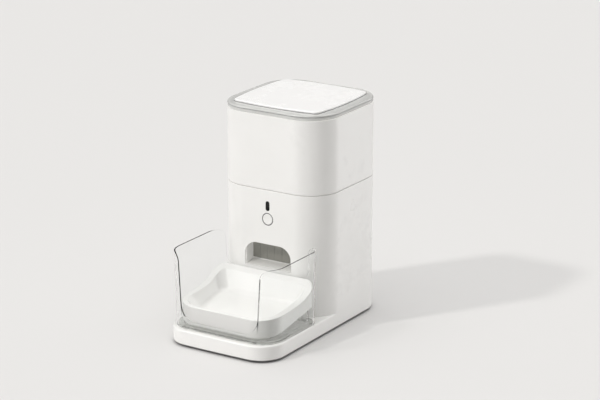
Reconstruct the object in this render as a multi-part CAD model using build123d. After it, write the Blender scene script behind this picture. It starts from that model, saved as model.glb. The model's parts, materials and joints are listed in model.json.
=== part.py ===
from build123d import *
import os
from math import atan2, cos, degrees, pi, sin, sqrt

# Automatic pet feeder. Millimetres, +Z up. The origin is on the floor, in the middle
# of the footprint. The bowl and the outlet face -Y, and the tower stands at +Y.

# Whole object
WIDTH = 190.0
DEPTH = 330.0
TOWER_DEPTH = 187.0
FLOOR_GAP = 3.0
DECK_Z = 26.3
SEAM_Z = 217.8
SEAM_GAP = 0.8
RIM_Z = 333.8
FRAME_TOP_Z = 342.0
TOP_Z = 345.2
TOWER_R = 50.0
NOSE_R = 39.0
NOSE_BULGE = 1.7
WALL = 2.6
FIT = 0.2

FRONT = -DEPTH / 2
BACK = DEPTH / 2
TOWER_FRONT = BACK - TOWER_DEPTH
TOWER_Y = (BACK + TOWER_FRONT) / 2
HALF = WIDTH / 2
INNER_FRONT = TOWER_FRONT + WALL

# Front of the lower tower
OUTLET_W = 83.0
OUTLET_Z0 = 93.6
OUTLET_Z1 = 132.2
OUTLET_R = 21.0
BUTTON_Z = 172.1
RING_R = 9.9
RING_BORE = 8.8
BUTTON_R = 8.6
BUTTON_FLANGE_R = 11.0
WINDOW_Z = 192.9
WINDOW_W = 7.2
WINDOW_H = 15.7

# Outlet chute
CHUTE_T = 2.0
CHUTE_HALF = OUTLET_W / 2 - 2.2
CHUTE_LIP_Z = OUTLET_Z0 + 1.9
CHUTE_KNEE = (-2.0, CHUTE_LIP_Z + 3.0)
CHUTE_SLOPE = 1.3
FLAP_Y = -2.3
FLAP_T = 1.2
FLAP_SLITS = 5
FLAP_CLEAR = 1.0

# Feed button's hollow face
DISH_R = 60.0

# Hopper catches, one on each side
CATCH_Y = 70.0
CATCH_Z = 186.5
CATCH_W = 13.0
CATCH_H = 17.0
CATCH_R = 4.0
CATCH_FLANGE = 2.0
PUSH_RIB_X = 80.0

# Dispenser: well, rotor and gears
WELL_Y = 60.0
WELL_R = 62.0
WELL_FLOOR_Z = 170.0
DROP_BACK_Y = 26.5
DROP_W = 54.0
PLATE_Z = 206.0
PLATE_T = 3.0
LEDGE_W = 4.0
VANES = 6
VANE_T = 2.4
VANE_TIP = 52.0
HUB_TOP = 222.0
HUB_R = 13.0
SHAFT_R = 4.0
RUN = 0.05
MODULE = 1.4
GEAR_TEETH = 40
PINION_TEETH = 12
GEAR_Z = 150.0
GEAR_T = 8.0
GEAR_R = MODULE * GEAR_TEETH / 2
PINION_R = MODULE * PINION_TEETH / 2
MOTOR_Y = WELL_Y + GEAR_R + PINION_R
MOTOR_SHAFT_R = 2.5
BRACKET_Z = 143.0
BRACKET_T = 2.5
POST_X = 34.0
POST_Y = MOTOR_Y + 6.0
MOTOR_SCREW_X = 12.0

# Circuit board behind the front wall
BOARD_Y = TOWER_FRONT + 9.5
BOARD_T = 1.6

# Screws
SCREW_R = 1.5
SCREW_HEAD_R = 2.9

# Power socket in the back wall
SOCKET_Z = 16.0
SOCKET_W = 13.0
SOCKET_H = 6.6

# Battery compartment
DOOR_W = 112.0
DOOR_Y0 = 70.0
DOOR_Y1 = 152.0
CELL_R = 16.5
CELL_L = 61.0
CELLS = 3
CELL_PITCH = 34.0
BATTERY_Y = 116.0
BATTERY_Z = 8.6
BATTERY_T = 2.0

# Bottom
COVER_Z = FLOOR_GAP + 0.4
COVER_T = 2.4
BOSS_X = HALF - WALL - 4.2
BOSS_YS = (-108.0, 0.0, 100.0)
BOSS_R = 4.5
BOSS_TOP = 20.0
FOOT_R = 9.0
FOOT_X = 66.0
FOOT_YS = (-138.0, -20.0, 132.0)

# Splash guard and cradle
GUARD_T = 2.0
GUARD_Z1 = 141.6
GUARD_HALF = 92.4
GUARD_FLARE = 2.4
GUARD_FRONT = FRONT + 8.5
GUARD_BACK = TOWER_FRONT - 1.2
GUARD_RF = 36.0
GUARD_RB = 17.5
REAR_CUT_HALF = 75.5
REAR_CUT_Z = 90.5
REAR_CUT_R = 16.0
REAR_TIP_R = 9.0
FRONT_CUT_HALF = 73.0
FRONT_CUT_Z = 39.0
FRONT_CUT_R = 26.0
FRONT_TIP_R = 14.0
CRADLE_GAP = 1.2
CRADLE_FOOT_T = 3.4
CRADLE_WALL = 2.2
CRADLE_LIP = 3.0

# Bowl: its rim rises gently from the front and steeply at the back
BOWL_FRONT = -149.6
BOWL_BACK = TOWER_FRONT - 3.8
BOWL_HALF_F = 85.2
BOWL_HALF_B = 90.0
BOWL_RF = 36.0
BOWL_RB = 17.0
BOWL_WALL = 3.0
RIM_FRONT_Z = 61.5
RIM_RISE = 9.0
RIM_KICK = 22.6
UNDER_FRONT_Z = 30.4
UNDER_BACK_Z = 55.4
BOWL_FLOOR = 3.0
HOLLOW_H = 40.0
FLOOR_TRIM_F = 20.0
FLOOR_TRIM_B = 19.0
FLOOR_TRIM_SIDE = 22.0
FLOOR_FILLET = 11.0
UNDER_GROOVE_CAP = 7.0

# Food bin
HOPPER_Z = SEAM_Z + SEAM_GAP
FUNNEL_TOP_Z = 264.0
FUNNEL_Z = 224.0
FUNNEL_T = 2.2
MOUTH_Y = 68.0
MOUTH_R = 37.0

# Lid
PLATE_INSET = 15.2
PLATE_R = 8.0
PLATE_BULGE = 4.6
PLATE_SEAT_Z = 338.4
CUP_R = 32.0
CUP_T = 1.8
CUP_H = 17.0


def export(shape, name):
    """Writes one sub-part."""
    export_step(shape, f"parts/{name}.step")


def group(solids):
    """Several separate solids that make one sub-part."""
    return Compound(children=list(solids))


def slab(face, z0, z1):
    """The face, drawn at z = 0, as a plate from z0 to z1."""
    return extrude(Pos(0, 0, z0) * face, amount=z1 - z0, dir=(0, 0, 1))


def trapezoid(half_f, half_b, y_f, y_b, r_f, r_b, bulge=0.0):
    """A four-sided outline with its own corner radius at the front and at the back."""
    lines = [
        Line((half_f, y_f), (half_b, y_b)),
        Line((half_b, y_b), (-half_b, y_b)),
        Line((-half_b, y_b), (-half_f, y_f)),
    ]
    if bulge:
        lines.append(ThreePointArc((-half_f, y_f + bulge), (0, y_f), (half_f, y_f + bulge)))
        lines[0] = Line((half_f, y_f + bulge), (half_b, y_b))
        lines[2] = Line((-half_b, y_b), (-half_f, y_f + bulge))
    else:
        lines.append(Line((-half_f, y_f), (half_f, y_f)))
    face = make_face(Curve() + lines)
    front = face.vertices().sort_by(Axis.Y)[:2]
    face = fillet(front, r_f)
    back = face.vertices().filter_by(lambda v: abs(v.Y - y_b) < 1e-6)
    return fillet(back, r_b)


def tower_outline(inset=0.0):
    """Outline of the tower, moved inwards all round."""
    half = HALF - inset
    face = Rectangle(2 * half, TOWER_DEPTH - 2 * inset)
    face = fillet(face.vertices(), TOWER_R - inset)
    return Pos(0, TOWER_Y) * face


def base_outline(inset=0.0):
    """Outline of the whole base, moved inwards all round."""
    half = HALF - inset
    r_f = NOSE_R - inset
    return trapezoid(half, half, FRONT + inset, BACK - inset, r_f, TOWER_R - inset, NOSE_BULGE)


def soft_square(half_x, half_y, r, bulge):
    """A square with bowed sides, each one tangent to its corner arcs."""
    ax = half_x - bulge - r
    ay = half_y - bulge - r
    centres = [Vector(-ax, -ay), Vector(ax, -ay), Vector(ax, ay), Vector(-ax, ay)]
    sides = []
    for i, start in enumerate(centres):
        end = centres[(i + 1) % 4]
        middle = (start + end) / 2
        along = (end - start).normalized()
        out = Vector(along.Y, -along.X)
        half = (end - start).length / 2
        big = (half**2 + bulge**2) / (2 * bulge)
        hub = middle - out * (big - bulge)
        first = start + (start - hub).normalized() * r
        last = end + (end - hub).normalized() * r
        sides.append((first, hub + out * (big + r), last))
    edges = []
    for i, (first, peak, last) in enumerate(sides):
        edges.append(ThreePointArc(first, peak, last))
        corner = centres[(i + 1) % 4]
        following = sides[(i + 1) % 4][0]
        bisector = ((last - corner) + (following - corner)).normalized()
        edges.append(ThreePointArc(last, corner + bisector * r, following))
    return make_face(Curve() + edges)


def disc(r, z0, z1, x=0.0, y=0.0):
    """An upright cylinder from z0 to z1."""
    return slab(Pos(x, y) * Circle(r), z0, z1)


def block(x0, x1, y0, y1, z0, z1):
    """A box between two corners."""
    return Pos((x0 + x1) / 2, (y0 + y1) / 2, (z0 + z1) / 2) * Box(x1 - x0, y1 - y0, z1 - z0)


def facing(face, y0, y1):
    """A face drawn in X and Z, as a plate from y0 to y1."""
    return extrude(Plane.XZ.offset(-y0) * face, amount=y1 - y0, dir=(0, 1, 0))


def sideways(face, x0, x1):
    """A face drawn in Y and Z, as a plate from x0 to x1."""
    return extrude(Plane.YZ.offset(x0) * face, amount=x1 - x0, dir=(1, 0, 0))


def outlet_face(inset=0.0):
    """The arched outlet, drawn in X and Z."""
    width = OUTLET_W - 2 * inset
    height = OUTLET_Z1 - OUTLET_Z0 - 2 * inset
    face = Rectangle(width, height)
    face = fillet(face.vertices().sort_by(Axis.Y)[-2:], OUTLET_R - inset)
    return Pos(0, (OUTLET_Z0 + OUTLET_Z1) / 2) * face


def pill(width, height):
    """An upright slot with round ends, drawn in X and Z."""
    return Rot(0, 0, 90) * SlotOverall(height, width)


# Main housing ---------------------------------------------------------------


def main_housing():
    """Base and lower tower in one moulding, open below and above."""
    base = slab(base_outline(), FLOOR_GAP, DECK_Z)
    base = fillet(base.edges().filter_by_position(Axis.Z, DECK_Z - 0.01, DECK_Z + 0.01), 2.4)
    base = fillet(base.edges().filter_by_position(Axis.Z, FLOOR_GAP - 0.01, FLOOR_GAP + 0.01), 2.0)
    tower = slab(tower_outline(), 12.0, SEAM_Z)
    tower = fillet(tower.edges().filter_by_position(Axis.Z, SEAM_Z - 0.01, SEAM_Z + 0.01), 0.9)
    body = base + tower
    body -= slab(base_outline(WALL), 0, DECK_Z - WALL)
    body -= slab(tower_outline(WALL), 8.0, SEAM_Z + 5)
    body += housing_bosses()
    body += housing_ledge()
    body -= facing(outlet_face(), TOWER_FRONT - 2, INNER_FRONT + 1)
    body -= facing(Pos(0, BUTTON_Z) * Circle(RING_R), TOWER_FRONT - 2, INNER_FRONT + 1)
    body -= facing(Pos(0, WINDOW_Z) * pill(WINDOW_W, WINDOW_H), TOWER_FRONT - 2, INNER_FRONT + 1)
    body -= facing(Pos(0, SOCKET_Z) * SlotOverall(SOCKET_W, SOCKET_H), BACK - WALL - 1, BACK + 2)
    for side in (-1, 1):
        hole = Pos(CATCH_Y, CATCH_Z) * RectangleRounded(CATCH_W, CATCH_H, CATCH_R)
        cut = sideways(hole, HALF - WALL - 1, HALF + 2)
        body -= cut if side > 0 else mirror(cut, Plane.YZ)
    return body


def boss_places():
    """Where the cover's screws stand."""
    return [(side * BOSS_X, y) for y in BOSS_YS for side in (-1, 1)]


def housing_bosses():
    """Screw bosses along the side walls."""
    bosses = Part()
    for x, y in boss_places():
        side = 1 if x > 0 else -1
        post = disc(BOSS_R, COVER_Z + COVER_T, BOSS_TOP, x, y)
        web_x = sorted((x, side * (HALF - WALL + 0.5)))
        post += block(*web_x, y - 2, y + 2, COVER_Z + COVER_T, BOSS_TOP)
        bosses += post - disc(SCREW_R + 0.1, 0, BOSS_TOP - 3, x, y)
    return bosses


def housing_ledge():
    """The ledge that carries the dispenser deck, left out at the two catches."""
    ring = slab(tower_outline(WALL - 0.5), PLATE_Z - 3, PLATE_Z)
    ring -= slab(tower_outline(WALL + LEDGE_W), PLATE_Z - 4, PLATE_Z + 1)
    for side in (-1, 1):
        x0, x1 = sorted((side * (HALF - WALL), side * (HALF - WALL - LEDGE_W - 2)))
        ring -= block(x0, x1, CATCH_Y - 12, CATCH_Y + 12, PLATE_Z - 4, PLATE_Z + 1)
    return ring


# Bottom ---------------------------------------------------------------------

def screw(x, y, z0, length):
    """A countersunk screw that points up, with a cross in its head."""
    head = Pos(x, y, z0 + 0.8) * Cone(SCREW_HEAD_R, SCREW_R, 1.6)
    shank = disc(SCREW_R, z0 + 1.6, z0 + length, x, y)
    cross = block(x - 1.8, x + 1.8, y - 0.35, y + 0.35, z0 - 1, z0 + 0.8)
    cross += block(x - 0.35, x + 0.35, y - 1.8, y + 1.8, z0 - 1, z0 + 0.8)
    return head + shank - cross


def countersink(x, y, z0):
    """The hole that such a screw sits in."""
    flare = Pos(x, y, z0 + 0.8) * Cone(SCREW_HEAD_R + FIT, SCREW_R + FIT, 1.6)
    return flare + disc(SCREW_R + FIT, z0 - 1, z0 + 10, x, y) + disc(SCREW_HEAD_R + FIT, z0 - 1, z0, x, y)


def door_face(gap=0.0):
    """Outline of the battery door."""
    depth = DOOR_Y1 - DOOR_Y0
    return Pos(0, (DOOR_Y0 + DOOR_Y1) / 2) * RectangleRounded(DOOR_W + 2 * gap, depth + 2 * gap, 6 + gap)


def door_screw_place():
    """The battery door's screw, near its front edge."""
    return 0.0, DOOR_Y0 + 5.0


def bottom_cover():
    """Flat cover that closes the base, with the battery door's cut-out."""
    cover = slab(base_outline(WALL + FIT), COVER_Z, COVER_Z + COVER_T)
    cover -= slab(door_face(0.5), 0, 20)
    for x, y in boss_places():
        cover -= countersink(x, y, COVER_Z)
    return cover


def cover_screws():
    """Screws of the bottom cover."""
    return group(screw(x, y, COVER_Z + 0.1, 11) for x, y in boss_places())


def rubber_feet():
    """Pads that the feeder stands on."""
    places = [(side * FOOT_X, y) for y in FOOT_YS for side in (-1, 1)]
    pads = []
    for x, y in places:
        pad = disc(FOOT_R, 0, COVER_Z, x, y)
        pads.append(fillet(pad.edges().filter_by_position(Axis.Z, -0.01, 0.01), 0.8))
    return group(pads)


def battery_door():
    """Door under the cells, with two ribs between them."""
    door = slab(door_face(), COVER_Z, COVER_Z + COVER_T)
    ribs = [block(x - 1, x + 1, BATTERY_Y - 22, BATTERY_Y + 22, COVER_Z + COVER_T, COVER_Z + COVER_T + 1.2)
            for x in (-CELL_PITCH / 2, CELL_PITCH / 2)]
    door += ribs
    return door - countersink(*door_screw_place(), COVER_Z)


def battery_door_screw():
    """The screw that keeps the battery door shut."""
    return screw(*door_screw_place(), COVER_Z + 0.1, 9)


def battery_box():
    """Open-bottomed box that holds the cells side by side."""
    half_x = CELLS * CELL_PITCH / 2 + 1
    half_y = CELL_L / 2 + 3
    z0 = COVER_Z + COVER_T + 0.2
    z1 = BATTERY_Z + 2 * CELL_R + 1.4
    outer = block(-half_x - BATTERY_T, half_x + BATTERY_T, BATTERY_Y - half_y - BATTERY_T,
                  BATTERY_Y + half_y + BATTERY_T, z0, z1 + BATTERY_T)
    box = outer - block(-half_x, half_x, BATTERY_Y - half_y, BATTERY_Y + half_y, z0 - 1, z1)
    for i in range(CELLS - 1):
        x = (i - (CELLS - 2) / 2) * CELL_PITCH
        box += block(x - 0.25, x + 0.25, BATTERY_Y - 18, BATTERY_Y + 18, z1 - 12, z1)
    x, y = door_screw_place()
    box += disc(4, z0, z0 + 8, x, y)
    box += block(x - 3, x + 3, y, BATTERY_Y - half_y - BATTERY_T / 2, z0, z0 + 8)
    return box - disc(SCREW_R + 0.1, z0 - 1, z0 + 7, x, y)


def cell_places():
    """X of each cell, and which way its button points."""
    return [((i - (CELLS - 1) / 2) * CELL_PITCH, 1 if i % 2 else -1) for i in range(CELLS)]


def battery_cells():
    """Three large cells, laid in turn head to tail."""
    cells = []
    z = BATTERY_Z + CELL_R
    for x, way in cell_places():
        can = facing(Pos(x, z) * Circle(CELL_R), BATTERY_Y - CELL_L / 2 + 1.5, BATTERY_Y + CELL_L / 2 - 1.5)
        can = fillet(can.edges().filter_by(GeomType.CIRCLE), 1.2)
        end = BATTERY_Y + way * (CELL_L / 2 - 1.5)
        y0, y1 = sorted((end, end + way * 1.5))
        cells.append(can + facing(Pos(x, z) * Circle(5), y0, y1))
    return group(cells)


def battery_contacts():
    """Contact plates, one at each end of each cell."""
    plates = []
    z = BATTERY_Z + CELL_R
    wall = CELL_L / 2 + 3
    for x, way in cell_places():
        for side in (-1, 1):
            y0, y1 = sorted((BATTERY_Y + side * wall, BATTERY_Y + side * (wall - 0.5)))
            plate = facing(Pos(x, z) * Rectangle(14, 16), y0, y1)
            reach = wall - CELL_L / 2 if side == way else wall - CELL_L / 2 + 1.5
            y0, y1 = sorted((BATTERY_Y + side * (wall - 0.5), BATTERY_Y + side * (wall - reach)))
            plates.append(plate + facing(Pos(x, z) * Circle(3.5), y0, y1))
    return group(plates)


def power_socket():
    """Oval power socket in the back wall, with its tongue."""
    shell = SlotOverall(SOCKET_W - 2 * FIT, SOCKET_H - 2 * FIT)
    bore = SlotOverall(SOCKET_W - 3.0, SOCKET_H - 3.0)
    body = facing(Pos(0, SOCKET_Z) * Rectangle(SOCKET_W + 4, SOCKET_H + 4), BACK - WALL - 9, BACK - WALL)
    body += facing(Pos(0, SOCKET_Z) * shell, BACK - WALL - 1, BACK - 0.3)
    body -= facing(Pos(0, SOCKET_Z) * bore, BACK - 8, BACK + 1)
    return body + facing(Pos(0, SOCKET_Z) * Rectangle(6.5, 0.8), BACK - 8.5, BACK - 1.5)


# Dispenser ------------------------------------------------------------------


def dispenser_deck():
    """Deck across the tower, with the rotor's well hanging from it."""
    deck = slab(tower_outline(WALL + FIT), PLATE_Z, PLATE_Z + PLATE_T)
    deck += disc(WELL_R + WALL, WELL_FLOOR_Z - 2.5, PLATE_Z + 1, 0, WELL_Y)
    deck += disc(9, GEAR_Z + GEAR_T + 0.6, WELL_FLOOR_Z - 2, 0, WELL_Y)
    for x in (-POST_X, POST_X):
        deck += disc(5, BRACKET_Z + BRACKET_T, WELL_FLOOR_Z - 2, x, POST_Y)
        deck -= disc(1.3, 0, BRACKET_Z + BRACKET_T + 10, x, POST_Y)
    deck -= disc(WELL_R, WELL_FLOOR_Z, PLATE_Z + 10, 0, WELL_Y)
    deck -= disc(SHAFT_R + RUN, 0, 200, 0, WELL_Y)
    drop = disc(WELL_R - 2, 160, 175, 0, WELL_Y)
    drop &= block(-DROP_W / 2, DROP_W / 2, -20, DROP_BACK_Y, 160, 175)
    deck -= drop
    for side in (-1, 1):
        x0, x1 = sorted((side * (PUSH_RIB_X - 2), side * PUSH_RIB_X))
        deck += block(x0, x1, CATCH_Y - 9, CATCH_Y + 9, CATCH_Z - 7, PLATE_Z + 1)
        x0, x1 = sorted((side * (PUSH_RIB_X + 1), side * (HALF - WALL - 3.6)))
        deck -= block(x0, x1, CATCH_Y - 6, CATCH_Y + 6, PLATE_Z - 1, PLATE_Z + 10)
    for x, y in deck_screw_places():
        deck -= disc(SCREW_R + FIT, PLATE_Z - 1, PLATE_Z + 10, x, y)
    return deck


def deck_screw_places():
    """Screws that hold the rotor cover down on the deck."""
    return [(-52.0, 15.4), (52.0, 15.4)]


def rotor_cover():
    """Plate over the front of the well, so food can't fall straight through."""
    plate = disc(WELL_R + 8, PLATE_Z + PLATE_T, PLATE_Z + PLATE_T + 2, 0, WELL_Y)
    front = WELL_Y - 20
    plate &= block(-80, 80, INNER_FRONT + 4, front, PLATE_Z, PLATE_Z + 10)
    for x, y in deck_screw_places():
        plate += disc(5, PLATE_Z + PLATE_T, PLATE_Z + PLATE_T + 2, x, y)
        plate -= disc(SCREW_R + FIT, PLATE_Z, PLATE_Z + 10, x, y)
    return plate


def deck_screws():
    """Pan-head screws of the rotor cover."""
    screws = []
    z = PLATE_Z + PLATE_T + 2
    for x, y in deck_screw_places():
        head = disc(2.8, z, z + 1.6, x, y) - block(x - 1.8, x + 1.8, y - 0.35, y + 0.35, z + 0.9, z + 2)
        screws.append(head + disc(SCREW_R, z - 5.5, z, x, y))
    return group(screws)


def rotor_hub():
    """Hub with six stiff vanes that carry the food round the well."""
    hub = disc(HUB_R, WELL_FLOOR_Z + 0.6, PLATE_Z + 2, 0, WELL_Y)
    hub += disc(8, PLATE_Z + 2, HUB_TOP, 0, WELL_Y)
    vane = block(HUB_R - 2, VANE_TIP, -VANE_T / 2, VANE_T / 2, WELL_FLOOR_Z + 2, PLATE_Z - 4)
    for i in range(VANES):
        hub += Pos(0, WELL_Y) * Rot(0, 0, (i + 0.5) * 360 / VANES) * vane
    return hub - disc(SHAFT_R + 0.02, 160, HUB_TOP - 8, 0, WELL_Y)


def paddle_blades():
    """Soft blades on the ends of the vanes, which wipe the wall of the well."""
    blade = block(VANE_TIP, WELL_R - 0.5, -VANE_T / 2, VANE_T / 2, WELL_FLOOR_Z + 0.6, PLATE_Z - 4)
    return group(Pos(0, WELL_Y) * Rot(0, 0, (i + 0.5) * 360 / VANES) * blade for i in range(VANES))


def rotor_shaft():
    """Steel shaft through the well's floor."""
    shaft = disc(SHAFT_R, GEAR_Z - 4, HUB_TOP - 8.5, 0, WELL_Y)
    groove = disc(SHAFT_R + 1, GEAR_Z - 2, GEAR_Z - 0.8, 0, WELL_Y) - disc(SHAFT_R - 0.8, 0, 300, 0, WELL_Y)
    return shaft - groove


def retaining_clip():
    """Open ring in the shaft's groove, under the driven gear."""
    ring = disc(7, GEAR_Z - 1.9, GEAR_Z - 0.9, 0, WELL_Y) - disc(SHAFT_R - 0.75, 0, 300, 0, WELL_Y)
    return ring - block(-2.4, 2.4, WELL_Y, WELL_Y + 10, 0, 300)


def gear(teeth, z0, z1, bore, phase):
    """Spur gear with straight-sided teeth, narrowed for backlash."""
    pitch_r = MODULE * teeth / 2
    root_r = pitch_r - 1.25 * MODULE
    tip_r = pitch_r + 0.9 * MODULE
    step = 2 * pi / teeth
    half_root = 0.31 * step
    half_pitch = 0.225 * step
    half_tip = 0.11 * step if teeth > 20 else 0.10 * step
    wheel = disc(root_r, z0, z1)
    tooth_points = []
    for r, half in ((root_r - 0.4, half_root), (root_r, half_root), (pitch_r, half_pitch), (tip_r, half_tip)):
        tooth_points.append((r * cos(half), r * sin(half)))
    outline = tooth_points + [(x, -y) for x, y in reversed(tooth_points)]
    tooth = slab(make_face(Polyline(*outline, close=True)), z0, z1)
    wheel += [Rot(0, 0, phase + i * 360 / teeth) * tooth for i in range(teeth)]
    return wheel - disc(bore, z0 - 1, z1 + 1)


def driven_gear():
    """Gear on the rotor's shaft; a tooth points at the pinion."""
    wheel = gear(GEAR_TEETH, GEAR_Z, GEAR_Z + GEAR_T, SHAFT_R + 0.02, 90)
    for i in range(5):
        wheel -= Rot(0, 0, 36 + i * 72) * disc(5, GEAR_Z - 1, GEAR_Z + GEAR_T + 1, 15, 0)
    return Pos(0, WELL_Y) * wheel


def pinion_gear():
    """Gear on the motor's shaft; a gap points at the driven gear."""
    half_step = 180 / PINION_TEETH
    wheel = gear(PINION_TEETH, GEAR_Z - 0.5, GEAR_Z + GEAR_T + 0.5, MOTOR_SHAFT_R + 0.02, -90 + half_step)
    return Pos(0, MOTOR_Y) * wheel


def motor_shaft():
    """Output shaft of the gear motor."""
    return disc(MOTOR_SHAFT_R, BRACKET_Z - 8, GEAR_Z + GEAR_T + 1, 0, MOTOR_Y)


def stirrer():
    """Arms above the rotor that keep the food loose in the funnel."""
    z = HUB_TOP + 8
    top = disc(8, HUB_TOP, z + 9, 0, WELL_Y)
    top = fillet(top.edges().filter_by_position(Axis.Z, z + 8.99, z + 9.01), 4.0)
    for i in range(3):
        arm = facing(Pos(0, z) * Circle(2.6), 4, 24) + disc(2.2, z, z + 16, 0, 20)
        top += Pos(0, WELL_Y) * Rot(0, 0, i * 120) * arm
    return top


def gear_motor():
    """Round gearbox with the motor's can below it."""
    body = disc(18, BRACKET_Z - 20, BRACKET_Z, 0, MOTOR_Y)
    body += disc(13.5, BRACKET_Z - 54, BRACKET_Z - 20, 0, MOTOR_Y)
    body += disc(5, BRACKET_Z - 57, BRACKET_Z - 54, 0, MOTOR_Y)
    body += disc(6, BRACKET_Z, BRACKET_Z + BRACKET_T + 2, 0, MOTOR_Y)
    for x in (-5, 5):
        body += block(x - 1.5, x + 1.5, MOTOR_Y + 5, MOTOR_Y + 6, BRACKET_Z - 60, BRACKET_Z - 54)
    return body - disc(MOTOR_SHAFT_R + RUN, BRACKET_Z - 8.5, 200, 0, MOTOR_Y)


def motor_bracket():
    """Plate that hangs the motor from the well."""
    plate = slab(Pos(0, MOTOR_Y + 1) * RectangleRounded(86, 42, 6), BRACKET_Z, BRACKET_Z + BRACKET_T)
    plate -= disc(6 + FIT, 100, 200, 0, MOTOR_Y)
    for x in (-POST_X, POST_X):
        plate -= disc(SCREW_R + FIT, 100, 200, x, POST_Y)
    for x in (-MOTOR_SCREW_X, MOTOR_SCREW_X):
        plate -= disc(SCREW_R + FIT, 100, 200, x, MOTOR_Y)
    return plate


def motor_screws():
    """Two screws into the well's posts, and two flat heads on the motor's face."""
    screws = []
    for x in (-POST_X, POST_X):
        head = disc(2.8, BRACKET_Z - 1.6, BRACKET_Z, x, POST_Y)
        head -= block(x - 1.8, x + 1.8, POST_Y - 0.35, POST_Y + 0.35, BRACKET_Z - 2, BRACKET_Z - 0.9)
        screws.append(head + disc(1.25, BRACKET_Z, BRACKET_Z + BRACKET_T + 8, x, POST_Y))
    top = BRACKET_Z + BRACKET_T
    for x in (-MOTOR_SCREW_X, MOTOR_SCREW_X):
        head = disc(2.6, top, top + 1.4, x, MOTOR_Y)
        head -= block(x - 1.8, x + 1.8, MOTOR_Y - 0.35, MOTOR_Y + 0.35, top + 0.8, top + 2)
        screws.append(head + disc(SCREW_R, BRACKET_Z, top, x, MOTOR_Y))
    return group(screws)


# Chute ----------------------------------------------------------------------

def chute_profile(grow):
    """Side view of the duct, drawn in Y and Z; the front end is open."""
    top = WELL_FLOOR_Z - 2.5
    back = DROP_BACK_Y + 0.3 + grow
    roof = OUTLET_Z1 + grow * 0.4
    front = INNER_FRONT
    throat = -2.4 - grow
    knee_y, knee_z = CHUTE_KNEE
    drop = grow * 1.1
    points = [
        (front, CHUTE_LIP_Z - drop),
        (knee_y, knee_z - drop),
        (back, knee_z - drop + (back - knee_y) * CHUTE_SLOPE - grow * 0.5),
        (back, top),
        (throat, top),
        (throat, roof + (throat - front) * 0.9),
        (front, roof),
    ]
    return make_face(Polyline(*points, close=True))


def outlet_chute():
    """Duct with a steep ramp from the well down to the outlet."""
    half = CHUTE_HALF + CHUTE_T
    duct = sideways(chute_profile(CHUTE_T), -half, half)
    duct -= sideways(chute_profile(0), -CHUTE_HALF, CHUTE_HALF)
    duct -= block(-100, 100, TOWER_FRONT - 5, INNER_FRONT, 0, 300)
    lip = block(-CHUTE_HALF, CHUTE_HALF, TOWER_FRONT + 0.2, INNER_FRONT + 1.0, CHUTE_LIP_Z - 1.6, CHUTE_LIP_Z)
    return duct + lip


def outlet_flap():
    """Soft flap that hangs across the duct, slit so that food pushes it aside."""
    knee_y, knee_z = CHUTE_KNEE
    low = knee_z + (FLAP_Y + FLAP_T - knee_y) * CHUTE_SLOPE + FLAP_CLEAR
    high = OUTLET_Z1 + (FLAP_Y - INNER_FRONT) * 0.9 + 4
    half = CHUTE_HALF - 0.3
    flap = block(-half, half, FLAP_Y, FLAP_Y + FLAP_T, low, high)
    pitch = 2 * half / (FLAP_SLITS + 1)
    for i in range(FLAP_SLITS):
        x = -half + pitch * (i + 1)
        flap -= block(x - 0.2, x + 0.2, FLAP_Y - 1, FLAP_Y + 3, low - 1, high - 12)
    return flap


def food_sensors():
    """Emitter and receiver on the two sides of the duct."""
    half = CHUTE_HALF + CHUTE_T
    body = block(half, half + 4, -8, 2, 122, 130)
    body += sideways(Pos(-3, 126) * Circle(2.4), half + 4, half + 6)
    return group([body, mirror(body, Plane.YZ)])


# Front panel ----------------------------------------------------------------


def circuit_board():
    """Board behind the front wall, with a notch at each lower corner."""
    face = Rectangle(64, 44) - [Pos(x, -22) * Rectangle(10, 8) for x in (-32, 32)]
    board = facing(Pos(0, 181) * face, BOARD_Y, BOARD_Y + BOARD_T)
    for x in (-27, 27):
        board -= facing(Pos(x, 198) * Circle(1.6), BOARD_Y - 1, BOARD_Y + BOARD_T + 1)
    return board


def board_chips():
    """Parts on the back of the board."""
    back = BOARD_Y + BOARD_T
    sizes = [(-18, 186, 12, 12, 1.4), (-4, 168, 8, 6, 1.4), (22, 186, 8, 12, 2.2), (-24, 170, 6, 4, 2.0)]
    return group(facing(Pos(x, z) * Rectangle(w, h), back, back + t) for x, z, w, h, t in sizes)


def board_standoffs():
    """Screws that hold the board to the front wall."""
    parts = []
    for x in (-27, 27):
        post = facing(Pos(x, 198) * Circle(3), INNER_FRONT, BOARD_Y)
        post += facing(Pos(x, 198) * Circle(1.4), BOARD_Y, BOARD_Y + BOARD_T)
        parts.append(post + facing(Pos(x, 198) * Circle(2.6), BOARD_Y + BOARD_T, BOARD_Y + BOARD_T + 1.4))
    return group(parts)


def feed_switch():
    """Push switch on the board, behind the feed button."""
    tip = TOWER_FRONT + 5.3
    body = facing(Pos(0, BUTTON_Z) * RectangleRounded(6, 6, 0.6), tip + 0.7, BOARD_Y)
    return body + facing(Pos(0, BUTTON_Z) * Circle(1.7), tip, tip + 0.7)


def status_lamp():
    """Small lamp on the board, behind the status window."""
    return facing(Pos(0, WINDOW_Z) * RectangleRounded(3.2, 2.8, 0.4), BOARD_Y - 1.6, BOARD_Y)


def status_window():
    """Dark window in the front wall, with a flange behind it."""
    pane = facing(Pos(0, WINDOW_Z) * pill(WINDOW_W - 0.2, WINDOW_H - 0.2), TOWER_FRONT + 0.15, INNER_FRONT)
    return pane + facing(Pos(0, WINDOW_Z) * pill(WINDOW_W + 3, WINDOW_H + 2.4), INNER_FRONT, INNER_FRONT + 1.2)


def button_ring():
    """Thin dark ring that the feed button moves in."""
    ring = facing(Pos(0, BUTTON_Z) * Circle(RING_R - 0.02), TOWER_FRONT + 0.1, INNER_FRONT)
    return ring - facing(Pos(0, BUTTON_Z) * Circle(RING_BORE), TOWER_FRONT - 1, INNER_FRONT + 1)


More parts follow.
